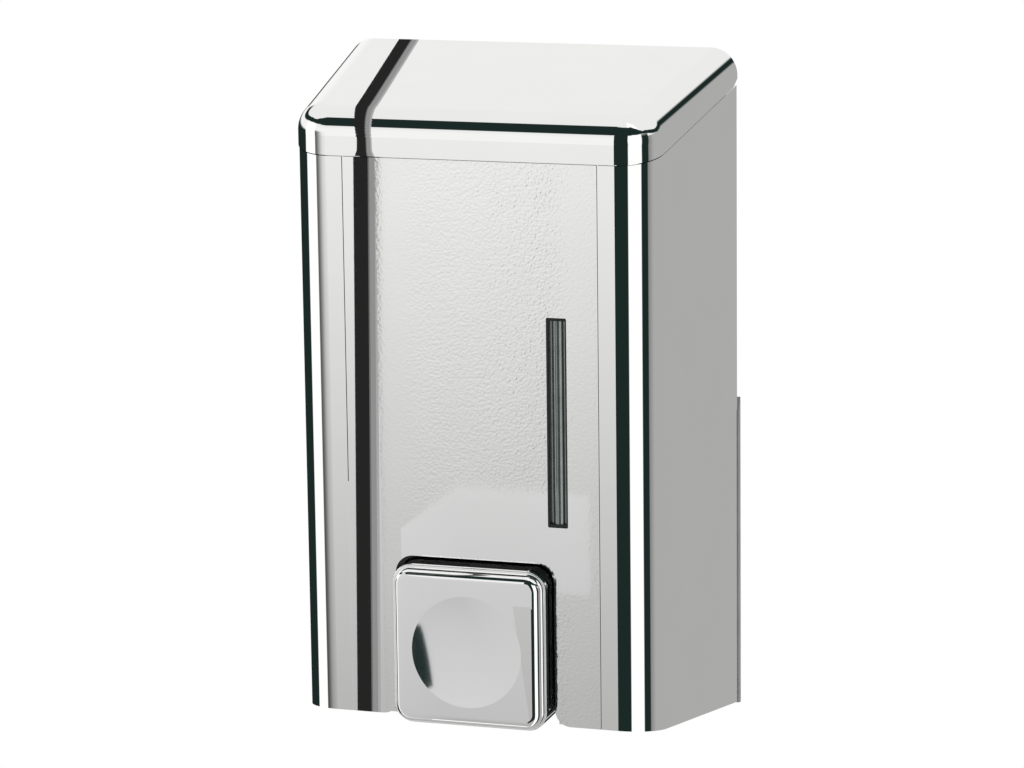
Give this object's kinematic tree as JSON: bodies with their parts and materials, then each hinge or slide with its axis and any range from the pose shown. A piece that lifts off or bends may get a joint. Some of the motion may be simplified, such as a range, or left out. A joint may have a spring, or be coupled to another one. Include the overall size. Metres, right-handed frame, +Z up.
{
  "type": "wall mounted soap dispenser",
  "caption": "Wall mounted liquid soap dispenser with a chromed tapered housing, hinged refill lid, level window and a square push button pump.",
  "frame": {"origin": "centre of the wall screw pattern, in the wall plane", "axes": "+Z up along the height, +Y from the room into the wall, +X to the right seen from the front"},
  "size_m": [0.113, 0.0747, 0.1856],
  "materials": {
    "grey_plastic": "moulded, fine matt",
    "chromed_plastic": "polished, textured front panel",
    "chromed_lid": "polished",
    "chromed_button": "satin polished",
    "clear_lens": "clear",
    "tank_plastic": "translucent",
    "white_plastic": "moulded",
    "acetal": "moulded",
    "dark_plastic": "moulded",
    "seal_rubber": "moulded",
    "silicone": "moulded, translucent",
    "stainless_ball": "polished",
    "spring_steel": "drawn wire",
    "pin_steel": "ground",
    "screw_steel": "zinc plated"
  },
  "bodies": {
    "housing": {"wall_plate": "grey_plastic", "front_cover": "chromed_plastic", "window_lens": "clear_lens", "tank": "tank_plastic", "pump_body": "white_plastic", "pump_bracket": "white_plastic", "union_nut": "white_plastic", "pump_plug": "white_plastic", "nozzle": "white_plastic", "rod_gland": "white_plastic", "inlet_seat": "white_plastic", "button_guide": "dark_plastic", "outlet_washer": "seal_rubber", "plug_seal": "seal_rubber", "inlet_valve": "silicone", "outlet_spring": "spring_steel", "bracket_screws": "screw_steel", "cover_screws": "screw_steel"},
    "button": {"button_cap": "chromed_button", "button_carrier": "dark_plastic", "piston_rod": "acetal", "piston_seal": "seal_rubber", "return_spring": "spring_steel"},
    "lid": {"lid": "chromed_lid", "lid_hinge_pins": "pin_steel"},
    "outlet_ball": {"outlet_ball": "stainless_ball"}
  },
  "joints": [
    {"name": "button_press", "type": "slide", "parent": "housing", "child": "button", "axis": [0, 1, 0], "range_m": [0, 0.007], "stiffness_N_per_m": 600, "springref_m": -0.004, "deforming": ["return_spring"]},
    {"name": "lid_hinge", "type": "hinge", "parent": "housing", "child": "lid", "pos_m": [0, -0.0066, 0.08625], "axis": [-1, 0, 0], "range_deg": [0, 100]},
    {"name": "outlet_valve", "type": "slide", "parent": "housing", "child": "outlet_ball", "axis": [0, 0, -1], "range_m": [0, 0.0012], "stiffness_N_per_m": 6, "springref_m": -0.003, "deforming": ["outlet_spring"]}
  ]
}
